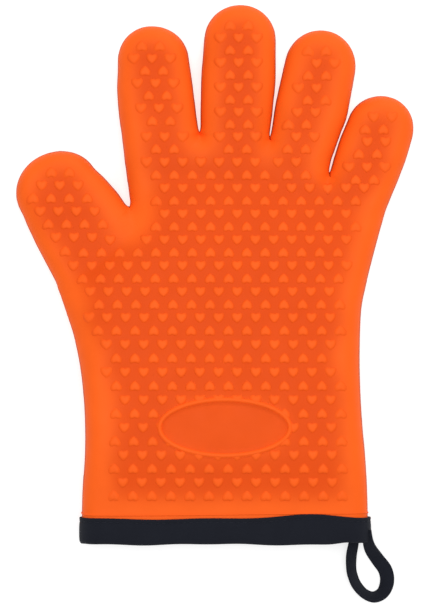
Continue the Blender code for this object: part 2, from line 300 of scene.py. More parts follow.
def finger_axes(finger):
    lean = math.radians(finger["lean"])
    along = Vector((math.sin(lean), math.cos(lean), 0))
    return place(*finger["base"], FINGER_MIDDLE), along, Vector((along.y, -along.x, 0))


def finger_width(finger, s):
    """(half width, sideways shift) at a distance s from the base."""
    widths = finger["widths"]
    for low, high in zip(widths, widths[1:]):
        if s <= high[0]:
            t = smooth((s - low[0]) / (high[0] - low[0])) * 0.5 + 0.5 * max(0.0, (s - low[0]) / (high[0] - low[0]))
            return low[1] + (high[1] - low[1]) * t, low[2] + (high[2] - low[2]) * t
    return widths[-1][1], widths[-1][2]


def web_change(finger, side, s):
    """What one side is modelled wider by below its web, or slimmer by (negative) beyond it."""
    web = finger["webs"][side]
    if web is None:
        return 0.0
    return WEB_OVERLAP * smooth((web - s) / 3.0) if s < web else -WEB_CLEARANCE * smooth((s - web) / WEB_EASE)


def finger_rings(finger, inset):
    base, along, across = finger_axes(finger)
    root_half, root_depth = finger["root"]
    height = FINGER_HALF - inset
    roll = FINGER_ROLL - inset
    deep = base - along * (root_depth - inset) * MM
    rings = [oblong(deep, across, root_half - inset, 6.6 - inset, roll)]
    last = finger["widths"][-1][0]
    s = -14.0
    while s <= last:
        half, shift = finger_width(finger, max(s, 0.0))
        if s < 0:
            half = root_half + (half - root_half) * (1 + s / root_depth)
        left, right = (web_change(finger, side, s) for side in (0, 1))
        middle = base + (along * s + across * (shift + (right - left) / 2)) * MM
        half += (left + right) / 2
        rings.append(oblong(middle, across, half - inset, height, roll, 0.5))
        s += 1.0 if s < 6 else 3.0
    centre = base + (along * last + across * (shift + (right - left) / 2)) * MM
    reach = finger["reach"] - inset
    for degrees in range(8, 90, 8):
        angle = math.radians(degrees)
        depth = min(1.0, reach * (1 - math.sin(angle)) / roll)
        rise = math.sqrt(1 - (1 - depth) ** 2)
        width = (half - inset) * math.cos(angle)
        rings.append(
            oblong(
                centre + along * reach * math.sin(angle) * MM, across, width, height * rise,
                max(1.0, min(roll, width * 0.98)), 0.5 * rise,
            )
        )
    return rings


def web_rings(x, y, lean, half_width, middle, inset):
    """A slab that fills the furrow between two fingers, with a rounded end at the web."""
    lean = math.radians(lean)
    along = Vector((math.sin(lean), math.cos(lean), 0))
    across = Vector((along.y, -along.x, 0))
    end = place(x, y, middle)
    rings = []
    for back in (34.0, 12.0, WEB_ROLL):
        low = 3.0 if back > 30 else 0.0
        rings.append(
            oblong(end - along * back * MM, across, half_width - inset, 8.9 - low - inset, WEB_ROLL, 0.0, 12)
        )
    for degrees in (20, 40, 60, 78):
        angle = math.radians(degrees)
        back = WEB_ROLL * (1 - math.sin(angle)) + inset
        rings.append(
            oblong(
                end - along * back * MM, across, half_width - inset, (8.9 - inset) * math.cos(angle),
                WEB_ROLL, 0.0, 12,
            )
        )
    return rings


def hand_skin(inset, voxel, start):
    """The whole hand as one skin, cut open at the cuff."""
    bm = bmesh.new()
    rings = []
    for left_x, left_y, right_x, right_y, half, middle, left_roll in between(PALM, 4):
        left, right = place(left_x, left_y, middle), place(right_x, right_y, middle)
        across = (right - left).normalized()
        width = (right - left).length / 2 / MM
        rings.append(
            oblong(
                (left + right) / 2, across, width - inset, half - inset, PALM_ROLL - inset, 0.6, 40,
                left_roll - inset,
            )
        )
    rings.insert(0, [point + Vector((0, -4 * MM, 0)) for point in rings[0]])
    loft(bm, rings)
    for finger in FINGERS.values():
        loft(bm, finger_rings(finger, inset))
    for web in WEBS:
        loft(bm, web_rings(*web, inset))
    skin = remeshed(bm, voxel)
    for _ in range(9):
        bmesh.ops.smooth_vert(
            skin, verts=skin.verts[:], factor=0.5, use_axis_x=True, use_axis_y=True, use_axis_z=True
        )
    bmesh.ops.bisect_plane(
        skin, geom=skin.verts[:] + skin.edges[:] + skin.faces[:], dist=1e-7,
        plane_co=place(0, start), plane_no=(0, -1, 0), clear_outer=True,
    )
    return skin


REGIONS = ["palm"] + [f"{name}_{part}" for name in FINGERS for part in ("base", "tip")]


def lane(finger, point):
    """(distance along the finger, distance from its middle line, half width there), in millimetres."""
    base, along, across = finger_axes(finger)
    away = point - base
    s = away.dot(along) / MM
    half, shift = finger_width(finger, max(s, 0.0))
    return s, away.dot(across) / MM - shift, half


def mark_regions(skin):
    """Cuts the skin across at the start of each bend and numbers each face's region."""
    mark = skin.faces.layers.int.new("region")
    for number, finger in enumerate(FINGERS.values()):
        base, along, _ = finger_axes(finger)
        for part, cut in ((1, finger["bends"][0] + 0.01), (2, finger["bends"][1])):
            near = set()
            for face in skin.faces:
                s, off, half = lane(finger, face.calc_center_median())
                if abs(s - cut) < 4 and abs(off) < half + 1.2:
                    near.add(face)
            verts = {v for f in near for v in f.verts}
            edges = {e for f in near for e in f.edges}
            bmesh.ops.bisect_plane(
                skin, geom=[*verts, *edges, *near], dist=1e-6, plane_co=base + along * cut * MM, plane_no=along
            )
            for face in skin.faces:
                s, off, half = lane(finger, face.calc_center_median())
                if s > cut and abs(off) < half + 1.2 and s < 90:
                    face[mark] = 2 * number + part
    return mark


def ease_fingers(skin):
    """Lets each finger out from its slim modelled width to its real one."""
    for vert in skin.verts:
        for name, finger in FINGERS.items():
            s, off, half = lane(finger, vert.co)
            side = 0 if off < 0 else 1
            web = finger["webs"][side]
            # The thumb's web is sharp, so only its own surface may be let out there.
            edge = 0.5 if name == "thumb" else -0.5
            if (s > 0 or web is not None and s > web) and abs(off) < half - edge and s < 90:
                slim = -web_change(finger, side, s)
                if slim > 0:
                    grow = (slim - finger["gap"][side] * smooth((s - web) / 3.0)) / (half - slim)
                    vert.co += finger_axes(finger)[2] * off * grow * MM
                break


def region_pieces(skin, wall, prefix, finish, quilt=None):
    """One closed piece for each region, with the undivided skin's normals so that no seam shows."""
    skin.normal_update()
    keep = skin.verts.layers.float_vector.new("whole_normal")
    for vert in skin.verts:
        vert[keep] = vert.normal
    pieces = {}
    for number, region in enumerate(REGIONS):
        part = skin.copy()
        layer = part.faces.layers.int["region"]
        keep = part.verts.layers.float_vector["whole_normal"]
        bmesh.ops.delete(part, geom=[f for f in part.faces if f[layer] != number], context="FACES")
        outer = set(part.faces)
        grown = bmesh.ops.extrude_face_region(part, geom=part.faces[:], use_keep_orig=True)["geom"]
        inner = {f for f in grown if isinstance(f, bmesh.types.BMFace)}
        for vert in {v for f in inner for v in f.verts}:
            thick = wall * (quilt(vert.co) if quilt else 1.0)
            vert.co -= vert[keep] * thick * MM
        for edge in part.edges:
            edge.smooth = len({face in outer for face in edge.link_faces}) == 1
        bmesh.ops.recalc_face_normals(part, faces=part.faces[:])
        normals = []
        for face in part.faces:
            shown = face in outer
            inside = face in inner
            for loop in face.loops:
                normal = loop.vert[keep]
                normals.append(normal.copy() if shown else -normal if inside else Vector((0, 0, 0)))
        made = new_object(f"{prefix}_{region}", part, finish)
        made.data.shade_smooth()
        made.data.normals_split_custom_set(normals)
        made.data.attributes.remove(made.data.attributes["whole_normal"])
        pieces[region] = made
    skin.free()
    return pieces


def follow(piece, region):
    """Makes a piece move with its region of the hand."""
    if region == "palm":
        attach(piece, "palm")
        return
    name, part = region.rsplit("_", 1)
    finger = FINGERS[name]
    base, along, _ = finger_axes(finger)
    joint = next(j for j in frame["joints"] if j["child"] == region)
    pivot = Vector(joint["pos_m"])
    start = finger["bends"][0] if part == "base" else finger["bends"][1]
    s = (pivot - base).dot(along) / MM
    end = 2 * s - start
    low = base + along * start * MM
    high = base + along * end * MM
    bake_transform(piece, joint["parent"], joint["child"], start=tuple(low), end=tuple(high))


# ---------------------------------------------------------------- raised hearts and oval

HEART_PITCH = 9.0
HEART_HALF_WIDTH = 2.45
ROW_START = 107.3
ROW_NEAR, ROW_FAR, ROW_TIP = 13.65, 12.85, 12.27  # below the start, above it, and from row 7 on
FIRST_COLUMN = -34.35
CUFF_LINE = 16.3
OVAL_BEAD = ((-1.35, -0.7), (-1.1, 0.2), (-0.6, 0.75), (0.0, 0.95), (0.6, 0.75), (1.1, 0.2), (1.35, -0.3))
OVAL = (-0.2, 59.5, 32.2, 13.85)  # x, y, half length and half height of the rim's middle line


def row_y(step):
    return ROW_START + min(step, 0) * ROW_NEAR + min(max(step, 0), 7) * ROW_FAR + max(step - 7, 0) * ROW_TIP


def drift(region, x, y):
    """How far the hearts of one region stand off the even rows and columns."""
    name = region.split("_")[0]
    if name == "index":
        return -0.142 * max(0.0, y - 196.0), 2.0 * smooth((y - 182) / 38)
    if name == "ring" or (name == "palm" and 20 < x < 50 and y > 184):
        return 2.3 + 1.1 * smooth((y - 200) / 30), -0.4 * smooth((y - 200) / 30)
    if name == "little" or (name == "palm" and x > 50 and y > 180):
        return 1.6 * smooth((y - 183) / 10) + 3.2 * smooth((y - 204.5) / 5), -2.5 * smooth((y - 166) / 20)
    if name == "middle":
        return 0.7 * smooth((y - 196) / 16), 0.0
    if name == "thumb":
        return 2.0 * smooth((y - 150) / 25), 1.3 * smooth((y - 135) / 20)
    spread = 0.024 * smooth((150 - y) / 50) + 0.023 * smooth((80 - y) / 55)
    return spread * (x - 8.0), 0.0


def region_at(x, y):
    """The region whose surface lies over a point of the plan."""
    point = place(x, y, FINGER_MIDDLE)
    best, found = 1.0, "palm"
    for name, finger in FINGERS.items():
        s, off, half = lane(finger, point)
        if s > 0 and abs(off) / half < best:
            best = abs(off) / half
            found = f"{name}_{'tip' if s > finger['bends'][1] else 'base'}"
    return found


def surface(tree, x, y, side):
    """The skin's point and outward normal over or under a point of the plan."""
    hit = tree.ray_cast(place(x, y, 60.0 * side), Vector((0, 0, -side)))
    if hit[0] is None:
        return None
    normal = hit[1] if hit[1].z * side > 0 else -hit[1]
    return hit[0], normal


def to_edge(tree, x, y, most=24.0):
    """Distance from a point of the plan to the nearest side of the glove, 0 if it is off the glove."""
    if surface(tree, x, y, 1) is None:
        return 0.0
    start = place(x, y, FINGER_MIDDLE)
    nearest = most
    for i in range(60):
        angle = math.tau * i / 60
        hit = tree.ray_cast(start, Vector((math.cos(angle), math.sin(angle), 0)), most * MM)
        if hit[0] is not None:
            nearest = min(nearest, hit[3] / MM)
    return nearest


MARGINS = {
    "thumb": (6.6, 7.4), "index": (7.4, 6.6), "middle": (8.0, 6.3), "ring": (7.3, 9.7), "little": (7.9, 8.8),
}


def heart_margin(region, x, y):
    """How wide the plain band along the edge is."""
    name = region.split("_")[0]
    if math.hypot(x - WEBS[0][0] + 0.8, y - WEBS[0][1] - 5.0) < 12.3:
        return 99.0
    if name == "palm" and any(math.hypot(x - web[0], y - web[1]) < 8.1 for web in WEBS[1:3]):
        return 99.0
    if 164.0 < y < 176.0 and x > 66.0:
        return 99.0
    if name != "palm":
        s, off, _ = lane(FINGERS[name], place(x, y, FINGER_MIDDLE))
        if name == "ring" and s > 38:
            return 8.4 if off > 0 else 7.8
        return MARGINS[name][1 if off > 0 else 0]
    if y > 200.0 or (x > 40.0 and 168.0 < y < 182.0):
        return 4.6
    if y < 96.0 and x < 0:
        return 12.8
    if x > 0 and y < 175:
        return 12.0 if y < 35 else 10.0 if y < 110 else 10.9
    return 9.6


def oval_distance(x, y):
    """How far a point of the plan lies outside the oval's middle line, and the way out there."""
    centre_x, centre_y, length, height = OVAL
    dx, dy = x - centre_x, y - centre_y
    angle = min(
        (math.tau * i / 90 for i in range(90)),
        key=lambda a: math.hypot(dx - length * math.cos(a), dy - height * math.sin(a)),
    )
    tx, ty = -length * math.sin(angle), height * math.cos(angle)
    angle += ((dx - length * math.cos(angle)) * tx + (dy - height * math.sin(angle)) * ty) / (tx * tx + ty * ty)
    nx, ny = math.cos(angle) / length, math.sin(angle) / height
    size = math.hypot(nx, ny)
    nx, ny = nx / size, ny / size
    return (dx - length * math.cos(angle)) * nx + (dy - height * math.sin(angle)) * ny, nx, ny


def heart_shape():
    """One heart: a low dome that runs out into the skin.  "rise" is 0 at its foot and 1 on top."""
    rings = []
    steps = ((1.36, -0.20, 0.0), (1.16, 0.06, 0.15), (0.94, 0.32, 0.6), (0.70, 0.50, 0.95), (0.38, 0.60, 1.0))
    for size, z, _ in steps:
        ring = []
        for i in range(14):
            t = math.tau * i / 14
            x = math.sin(t) * abs(math.sin(t)) ** 0.45
            y = (13 * math.cos(t) - 3.3 * math.cos(2 * t) - 1.1 * math.cos(3 * t) - 0.4 * math.cos(4 * t)) / 16
            ring.append(Vector((x, (y + 0.13) * 1.12, 0)) * HEART_HALF_WIDTH * size * MM)
            ring[-1].z = z * MM
        rings.append(ring)
    bm = bmesh.new()
    loft(bm, rings)
    rise = bm.verts.layers.float.new("rise")
    # A layer for the painted shade between the hearts, filled in where each heart is placed.
    bm.verts.layers.float.new("painted_field_shade")
    for vert in bm.verts:
        vert[rise] = min(steps, key=lambda step: abs(step[1] * MM - vert.co.z))[2]
    mesh = bpy.data.meshes.new("heart_shape")
    bm.to_mesh(mesh)
    bm.free()
    return mesh


def heart_places(tree):
    """(x, y, region, whether its point is up) of every heart on one face."""
    found = []
    for half_step in range(-14, 27):
        y0 = row_y(half_step / 2)
        point_up = half_step % 2 == 0
        for column in range(-12, 22):
            x0 = FIRST_COLUMN + (column if point_up else column + 0.47) * HEART_PITCH
            for region in REGIONS:
                dx, dy = drift(region, x0, y0)
                x, y = x0 + dx, y0 + dy
                if region_at(x, y) != region or y < 21.5:
                    continue
                if to_edge(tree, x, y) < heart_margin(region, x, y):
                    continue
                if any(math.hypot(x - a, y - b) < 5.7 for a, b, _, _ in found[-90:]):
                    continue
                if oval_distance(x, y)[0] < -1.4:
                    continue
                found.append((x, y, region, point_up))
    return found


def hearts(places, known, tree, finish):
    """The hearts of each region as one piece, on both faces of the glove."""
    shape = heart_shape()
    spare = bpy.data.meshes.new("spare")
    groups = {region: bmesh.new() for region in REGIONS}
    for x, y, region, point_up in places:
        gap, nx, ny = oval_distance(x, y)
        shade = painted_shade_at(known, x, y)
        for side in (1, -1):
            spot = surface(tree, x, y, side)
            if spot is None:
                continue
            point, normal = spot
            one = bmesh.new()
            one.from_mesh(shape)
            painted_field_shade = one.verts.layers.float["painted_field_shade"]
            up = Vector((0, -1 if point_up else 1, 0))
            side_way = up.cross(normal).normalized()
            up = normal.cross(side_way)
            for vert in one.verts:
                flat = vert.co.copy()
                vert.co = point + side_way * flat.x + up * flat.y + normal * flat.z
                # Painted shade of the spot, which shows at the heart's foot where "rise" is low.
                vert[painted_field_shade] = shade
            if gap < 3.4:
                rim = place(x, y, 0) - Vector((nx, ny, 0)) * gap * MM
                cut = bmesh.ops.bisect_plane(
                    one, geom=one.verts[:] + one.edges[:] + one.faces[:], dist=1e-7, plane_co=rim,
                    plane_no=(-nx, -ny, 0), clear_outer=True,
                )["geom_cut"]
                edges = [e for e in cut if isinstance(e, bmesh.types.BMEdge)]
                bmesh.ops.holes_fill(one, edges=edges, sides=0)
            bmesh.ops.recalc_face_normals(one, faces=one.faces[:])
            one.to_mesh(spare)
            one.free()
            groups[region].from_mesh(spare)
    pieces = {}
    for region, bm in groups.items():
        if not bm.faces:
            bm.free()
            continue
        piece = new_object(f"hearts_{region}", bm, finish)
        soften(piece, 60)
        pieces[region] = piece
    bpy.data.meshes.remove(shape)
    bpy.data.meshes.remove(spare)
    return pieces


def cuff_line(tree, finish):
    """The thin moulded line round the glove just above the binding."""
    rings = []
    for off, rise in ((-0.7, -0.25), (-0.4, 0.2), (0.0, 0.42), (0.4, 0.2), (0.7, -0.25)):
        ring = []
        for i in range(160):
            angle = math.tau * i / 160
            way = Vector((math.cos(angle), 0, math.sin(angle) * 0.14)).normalized()
            start = place(0, CUFF_LINE + off + 0.5 * math.sin(2 * angle), 10.5)
            hit, normal, _, _ = tree.ray_cast(start, way)
            ring.append(hit + (normal if normal.dot(way) > 0 else -normal) * rise * MM)
        rings.append(ring)
    bm = bmesh.new()
    loft(bm, rings, closed=True)
    rise = bm.verts.layers.float.new("rise")
    for vert in bm.verts:
        vert[rise] = 1.0
    piece = new_object("cuff_line", bm, finish)
    soften(piece, 60)
    return piece


def oval_rim(tree, side, finish):
    """The raised bead round the plain oval."""
    centre_x, centre_y, length, height = OVAL
    rings = []
    for off, rise in OVAL_BEAD:
        ring = []
        for i in range(120):
            angle = math.tau * i / 120
            nx, ny = math.cos(angle) / length, math.sin(angle) / height
            size = math.hypot(nx, ny)
            x = centre_x + length * math.cos(angle) + off * nx / size
            y = centre_y + height * math.sin(angle) + off * ny / size
            point, _ = surface(tree, x, y, side)
            ring.append(point + Vector((0, 0, side * rise * MM)))
        rings.append(ring)
    bm = bmesh.new()
    loft(bm, rings, closed=True)
    layer = bm.verts.layers.float.new("rise")
    for vert in bm.verts:
        x, y = (vert.co.x - CUFF_X) / MM, (vert.co.y - CUFF_Y) / MM
        vert[layer] = 1 - smooth((abs(oval_distance(x, y)[0]) - 0.9) / 0.5)
    piece = new_object("oval_rim_upper" if side == 1 else "oval_rim_under", bm, finish)
    soften(piece, 60)
    return piece


def painted_shade_at(known, x, y):
    """How much a point of the plan is surrounded by hearts or lies in the oval, from 0 to 1: the strength of the
    painted shade there.
    """
    crowd = sum(math.exp(-((far / 8.5) ** 2)) for *_, far in known.find_range((x, y, 0), 20.0))
    near = smooth((crowd - 0.9) / 3.0)
    if abs(x - OVAL[0]) < OVAL[2] and abs(y - OVAL[1]) < OVAL[3]:
        near = max(near, 0.75 * smooth((1.0 - oval_distance(x, y)[0]) / 2.0))
    return near


def finish_skin(skin, known):
    """Writes the skin's painted shade, between the hearts, inside the oval and on the steep sides, and sinks the
    oval.
    """
    painted_field_shade = skin.verts.layers.float.new("painted_field_shade")
    painted_side_shade = skin.verts.layers.float.new("painted_side_shade")
    for vert in skin.verts:
        x, y = (vert.co.x - CUFF_X) / MM, (vert.co.y - CUFF_Y) / MM
        flat = abs(vert.normal.z)
        # Painted shade: a darker colour where the hearts crowd and inside the oval.
        vert[painted_field_shade] = painted_shade_at(known, x, y) * smooth((flat - 0.6) / 0.3)
        # Painted shade: a darker colour on the steep rolled sides.
        vert[painted_side_shade] = smooth((0.42 - flat) / 0.3)
        if abs(x - OVAL[0]) < OVAL[2] and abs(y - OVAL[1]) < OVAL[3]:
            sunk = smooth((-0.3 - oval_distance(x, y)[0]) / 2.2)
            vert.co -= vert.normal * 0.55 * sunk * MM


# ---------------------------------------------------------------- cuff binding and loop

BINDING = (
    (13.3, 0.15), (13.7, 0.45), (13.65, 0.9), (13.2, 1.15), (12.5, 1.15), (11.9, 0.95), (11.4, 0.92),
    (10.9, 1.08), (9.0, 1.25), (6.0, 1.3), (3.4, 1.28), (1.8, 1.2), (0.7, 0.8), (0.1, 0.1), (0.0, -1.2),
    (0.0, -2.8), (0.3, -3.9), (1.1, -4.6), (2.6, -4.9), (6.0, -4.95), (10.0, -4.9), (11.2, -4.8),
    (11.4, -4.5), (11.1, -4.2), (8.0, -4.15), (4.0, -4.15), (1.6, -4.1), (1.1, -3.4), (1.1, -0.4),
    (1.5, 0.08), (6.0, 0.12),
)


def binding_wave(x, top):
    """The slight waviness of the binding's two edges."""
    rise = 0.5 + 2.2 * math.exp(-(((x - 46.0) / 19.0) ** 2))
    rise = rise + 0.3 * math.sin(x / 17.0 + 0.6) - 0.2 * math.sin(x / 7.3)
    hem = 1.2 + 0.3 * math.sin(x / 12.0 + 2.0) + 0.2 * math.sin(x / 5.1)
    hem = hem + 0.9 * math.exp(-(((x - 60.0) / 6.0) ** 2))
    return rise * top + hem * (1 - top)


def cuff_binding(finish):
    count = 130
    rings = []
    for y, offset in BINDING:
        ring = oblong(
            place(0, 0, 10.5), Vector((1, 0, 0)), 71.7 + offset, 9.1 + offset, PALM_ROLL + offset, 0.6, count
        )
        top = min(1.0, max(0.0, y / 13.5))
        for i, point in enumerate(ring):
            x = (point.x - CUFF_X) / MM
            pucker = 0.10 * math.sin(math.tau * i / len(ring) * 88) * smooth((y - 8.5) / 3.0)
            face = Vector((0, 0, 1 if i < count else -1))
            lift = 0.12 * math.sin(x / 9.0 + 1.3) * math.sin(y / 4.0)
            if offset > 0.5:
                point += face * (pucker * 0.6 + min(lift, 0.05) * (0 if i >= count else 1)) * MM
            point.y += (y + max(0.0, binding_wave(x, top)) * (1 if i < count else 0.5)) * MM
        rings.append(ring)
    bm = bmesh.new()
    loft(bm, rings, closed=True)
    piece = new_object("binding", bm, finish)
    soften(piece, 60)
    return piece


def stitch_shape():
    bm = bmesh.new()
    bmesh.ops.create_uvsphere(bm, u_segments=8, v_segments=6, radius=0.5)
    mesh = bpy.data.meshes.new("stitch_shape")
    bm.to_mesh(mesh)
    bm.free()
    return mesh


def lay_stitches(name, spots, finish):
    """Short raised stitches, each given as its middle, direction, way out of the cloth and length."""
    shape = stitch_shape()
    bm = bmesh.new()
    for middle, ahead, out, length in spots:
        before = len(bm.verts)
        bm.from_mesh(shape)
        bm.verts.ensure_lookup_table()
        side = out.cross(ahead).normalized()
        for vert in bm.verts[before:]:
            flat = vert.co.copy()
            vert.co = middle + (ahead * flat.x * length + side * flat.y * 0.42 + out * flat.z * 0.36) * MM
    bpy.data.meshes.remove(shape)
    piece = new_object(name, bm, finish)
    soften(piece, 80)
    return piece


def binding_stitches(finish):
    count = 400
    ring = oblong(place(0, 0, 10.5), Vector((1, 0, 0)), 71.7 + 1.0, 9.1 + 1.0, PALM_ROLL + 1.0, 0.6, count)
    lengths = [0.0]
    for a, b in zip(ring, ring[1:] + ring[:1]):
        lengths.append(lengths[-1] + (b - a).length / MM)
    total = lengths[-1]
    spots = []
    number = round(total / 3.3)
    k = 0
    for i in range(number):
        want = total * i / number
        while lengths[k + 1] < want:
            k += 1
        here, there = ring[k], ring[(k + 1) % len(ring)]
        ahead = (there - here).normalized()
        out = ahead.cross(Vector((0, 1, 0)))
        middle_z = place(0, 0, 10.5).z
        if out.z * (here.z - middle_z) + out.x * (here.x - CUFF_X) < 0:
            out = -out
        x = (here.x - CUFF_X) / MM
        upper = here.z > middle_z
        y = 11.65 + max(0.0, binding_wave(x, 0.86)) * (1 if upper else 0.5)
        spots.append((here + Vector((0, y * MM, 0)), ahead, out, 2.3))
    return lay_stitches("binding_stitches", spots, finish)


# x, y, z, width, tilt in degrees
LOOP = (
    (64.9, 7.5, 8.9, 5.4, 20.0),
    (64.4, 1.0, 8.7, 5.8, 28.0),
    (63.4, -5.0, 7.9, 6.8, 38.0),
    (63.3, -11.0, 6.6, 7.2, 46.0),
    (64.0, -15.5, 5.5, 7.5, 50.0),
    (66.2, -20.8, 4.5, 7.8, 54.0),
    (70.2, -25.2, 4.3, 7.8, 58.0),
    (74.9, -26.9, 4.2, 7.8, 56.0),
    (79.4, -24.6, 4.1, 7.6, 45.0),
    (81.5, -19.2, 4.1, 7.4, 22.0),
    (80.5, -13.2, 5.0, 7.2, 8.0),
    (76.4, -7.4, 8.0, 7.0, 14.0),
    (72.9, -2.2, 11.8, 6.8, 28.0),
    (71.2, 2.6, 14.3, 6.2, 40.0),
    (70.3, 8.2, 15.3, 5.8, 42.0),
)
LOOP_THICKNESS = 1.25


def loop_frames():
    """(middle, ahead, across, out) of each section of the loop's tape."""
    stations = between(LOOP, 8)
    middles = [place(s[0], s[1], s[2]) for s in stations]
    frames = []
    for i, (middle, station) in enumerate(zip(middles, stations)):
        ahead = (middles[min(i + 1, len(middles) - 1)] - middles[max(i - 1, 0)]).normalized()
        flat = Vector((ahead.x, ahead.y, 0)).normalized()
        sideways = flat.cross(Vector((0, 0, 1)))
        tilt = math.radians(station[4])
        across = sideways * math.cos(tilt) + Vector((0, 0, math.sin(tilt)))
        across = (across - ahead * across.dot(ahead)).normalized()
        frames.append((middle, ahead, across, ahead.cross(across).normalized(), station[3]))
    return frames


def hanging_loop(finish):
    """A tape folded in three and sewn along both edges."""
    profile = (
        (-0.5, 0.0), (-0.485, 0.32), (-0.44, 0.5), (-0.37, 0.44), (-0.34, 0.36), (-0.31, 0.44), (-0.2, 0.5),
    )
    top = list(profile) + [(0.0, 0.52)] + [(-u, v) for u, v in reversed(profile)]
    under = [(u, -v) for u, v in reversed(top[1:-1])]
    outline = top + under
    rings = []
    for middle, _, across, out, width in loop_frames():
        rings.append([middle + across * u * width * MM + out * v * LOOP_THICKNESS * MM for u, v in outline])
    bm = bmesh.new()
    loft(bm, rings)
    piece = new_object("loop", bm, finish)
    soften(piece, 60)
    return piece


def loop_stitches():
    """The two rows along the loop."""
    spots = []
    frames = loop_frames()
    distance = 0.0
    for (middle, ahead, across, out, width), (after, *_) in zip(frames, frames[1:]):
        step = (after - middle).length / MM
        distance += step
        if distance >= 2.9:
            distance = 0.0
            for side in (-1, 1):
                for face in (-1, 1):
                    spot = middle + across * side * 0.34 * width * MM + out * face * 0.40 * LOOP_THICKNESS * MM
                    spots.append((spot, ahead, out * face, 2.0))
    return spots


# ---------------------------------------------------------------- materials


def socket(shader, name, value):
    shader.inputs[name].default_value = value


def blank(name, colour, roughness):
    made = bpy.data.materials.new(name)
    made.use_nodes = True
    made.diffuse_color = (*colour, 1)
    shader = made.node_tree.nodes["Principled BSDF"]
    socket(shader, "Base Color", (*colour, 1))
    socket(shader, "Roughness", roughness)
    return made, made.node_tree.nodes, made.node_tree.links, shader


def noise(nodes, links, coordinates, scale, detail):
    texture = nodes.new("ShaderNodeTexNoise")
    texture.inputs["Scale"].default_value = scale
    texture.inputs["Detail"].default_value = detail
    links.new(coordinates, texture.inputs["Vector"])
    return texture.outputs["Fac"]


def ramp(nodes, links, factor, stops):
    made = nodes.new("ShaderNodeValToRGB")
    elements = made.color_ramp.elements
    while len(elements) < len(stops):
        elements.new(0.5)
    for element, (position, colour) in zip(elements, stops):
        element.position = position
        element.color = (*colour, 1)
    links.new(factor, made.inputs["Fac"])
    return made.outputs["Color"]


def mix(nodes, links, factor, first, second, blend="MIX"):
    made = nodes.new("ShaderNodeMix")
    made.data_type = "RGBA"
    made.blend_type = blend
    for index, value in ((0, factor), (6, first), (7, second)):
        if isinstance(value, bpy.types.NodeSocket):
            links.new(value, made.inputs[index])
        elif isinstance(value, tuple):
            made.inputs[index].default_value = (*value, 1)
        else:
            made.inputs[index].default_value = value
    return made.outputs[2]


def add_bump(nodes, links, shader, heights):
    """Bumps one after another: (height output, strength, distance in millimetres)."""
    normal = None
    for height, strength, distance in heights:
        bump = nodes.new("ShaderNodeBump")
        bump.inputs["Strength"].default_value = strength
        bump.inputs["Distance"].default_value = distance * MM
        links.new(height, bump.inputs["Height"])
        if normal is not None:
            links.new(normal, bump.inputs["Normal"])
        normal = bump.outputs["Normal"]
    links.new(normal, shader.inputs["Normal"])


def object_coordinates(nodes):
    return nodes.new("ShaderNodeTexCoord").outputs["Object"]


def attribute(nodes, name):
    node = nodes.new("ShaderNodeAttribute")
    node.attribute_name = name
    return node.outputs["Fac"]


def silicone_material():
    """Mottled rubber, with painted shade between the hearts, inside the oval and along the steep sides."""
    made, nodes, links, shader = blank("silicone", (1.0, 0.132, 0.010), 0.5)
    where = object_coordinates(nodes)
    mottling = noise(nodes, links, where, 60.0, 4.0)
    # Painted shade between the hearts and inside the oval; the raised tops ("rise") take the plain colour back.
    colour = mix(nodes, links, attribute(nodes, "painted_field_shade"), (1.0, 0.130, 0.010), (0.80, 0.077, 0.003))
    colour = mix(nodes, links, attribute(nodes, "rise"), colour, (1.0, 0.124, 0.010))
    # Painted shade: a darker colour along the steep sides.
    colour = mix(nodes, links, attribute(nodes, "painted_side_shade"), colour, (0.42, 0.045, 0.006))
    tint = ramp(nodes, links, mottling, ((0.3, (0.95, 0.93, 0.91)), (0.7, (1.0, 1.0, 1.0))))
    links.new(mix(nodes, links, 1.0, colour, tint, "MULTIPLY"), shader.inputs["Base Color"])
    fine = noise(nodes, links, where, 900.0, 2.0)
    broad = noise(nodes, links, where, 140.0, 2.0)
    roughness = nodes.new("ShaderNodeMapRange")
    roughness.inputs["To Min"].default_value = 0.50
    roughness.inputs["To Max"].default_value = 0.64
    links.new(broad, roughness.inputs["Value"])
    links.new(roughness.outputs["Result"], shader.inputs["Roughness"])
    socket(shader, "IOR", 1.41)
    socket(shader, "Specular IOR Level", 0.16)
    add_bump(nodes, links, shader, ((broad, 0.12, 0.3), (fine, 0.25, 0.04)))
    return made


def woven_material(name, light, dark, pitch, strength, roughness, sheen, slant=0.0):
    """Plain or twill cloth: two sets of yarns at right angles, pitch millimetres apart."""
    made, nodes, links, shader = blank(name, light, roughness)
    where = object_coordinates(nodes)
    yarns = []
    for axis in ("X", "Y"):
        mapping = nodes.new("ShaderNodeMapping")
        mapping.inputs["Rotation"].default_value = (0, 0, math.radians(slant))
        links.new(where, mapping.inputs["Vector"])
        wave = nodes.new("ShaderNodeTexWave")
        wave.wave_type = "BANDS"
        wave.bands_direction = axis
        wave.inputs["Scale"].default_value = math.pi / (10 * pitch * MM)
        wave.inputs["Distortion"].default_value = 0.6
        wave.inputs["Detail"].default_value = 1.0
        links.new(mapping.outputs["Vector"], wave.inputs["Vector"])
        yarns.append(wave.outputs["Fac"])
    weave = nodes.new("ShaderNodeMath")
    weave.operation = "MAXIMUM"
    links.new(yarns[0], weave.inputs[0])
    links.new(yarns[1], weave.inputs[1])
    cloudy = noise(nodes, links, where, 90.0, 3.0)
    fuzz = noise(nodes, links, where, 1500.0, 2.0)
    base = mix(nodes, links, weave.outputs["Value"], dark, light)
    tint = ramp(nodes, links, cloudy, ((0.3, (0.86, 0.86, 0.88)), (0.7, (1.0, 1.0, 1.0))))
    colour = mix(nodes, links, 1.0, base, tint, "MULTIPLY")
    links.new(colour, shader.inputs["Base Color"])
    socket(shader, "Specular IOR Level", 0.12)
    socket(shader, "Sheen Weight", sheen)
    socket(shader, "Sheen Roughness", 0.6)
    add_bump(nodes, links, shader, ((weave.outputs["Value"], strength, 0.15), (fuzz, 0.3, 0.05)))
    return made


# ---------------------------------------------------------------- the glove

